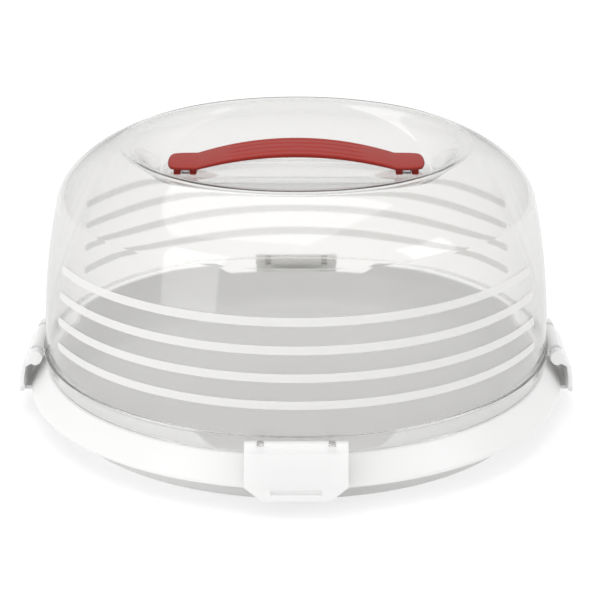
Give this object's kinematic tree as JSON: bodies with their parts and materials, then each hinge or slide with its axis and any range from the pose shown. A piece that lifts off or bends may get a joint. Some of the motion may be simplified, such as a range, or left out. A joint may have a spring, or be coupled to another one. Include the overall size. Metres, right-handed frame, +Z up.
{
  "type": "cake carrier",
  "caption": "Round cake carrier: white serving base, clear domed lid with frosted bands and a red carrying handle, and hinged side clips that hook under the base.",
  "frame": {"origin": "centre of the foot ring on the table surface", "axes": "+Z up out of the dome, +X along the handle, -Y towards the front clip"},
  "size_m": [0.3502, 0.3502, 0.1703],
  "materials": {
    "white_plastic": "smooth moulded, softly glossy",
    "clear_plastic": "clear to slightly milky polypropylene with frosted bands",
    "red_plastic": "smooth moulded, satin gloss",
    "clip_plastic": "smooth moulded, softly glossy"
  },
  "bodies": {
    "base": {"base_tray": "white_plastic"},
    "lid": {"lid_dome": "clear_plastic", "handle": "red_plastic"},
    "front_clip": {"clip_front": "clip_plastic"},
    "right_clip": {"clip_right": "clip_plastic"},
    "back_clip": {"clip_back": "clip_plastic"},
    "left_clip": {"clip_left": "clip_plastic"}
  },
  "joints": [
    {"name": "lid_lift", "type": "slide", "parent": "base", "child": "lid", "axis": [0, 0, 1], "range_m": [0, 0.16]},
    {"name": "front_clip_hinge", "type": "hinge", "parent": "lid", "child": "front_clip", "pos_m": [0, -0.16295, 0.0376], "axis": [-1, 0, 0], "range_deg": [0, 110]},
    {"name": "right_clip_hinge", "type": "hinge", "parent": "lid", "child": "right_clip", "pos_m": [0.16295, 0, 0.0376], "axis": [0, -1, 0], "range_deg": [0, 110]},
    {"name": "back_clip_hinge", "type": "hinge", "parent": "lid", "child": "back_clip", "pos_m": [0, 0.16295, 0.0376], "axis": [1, 0, 0], "range_deg": [0, 110]},
    {"name": "left_clip_hinge", "type": "hinge", "parent": "lid", "child": "left_clip", "pos_m": [-0.16295, 0, 0.0376], "axis": [0, 1, 0], "range_deg": [0, 110]}
  ]
}
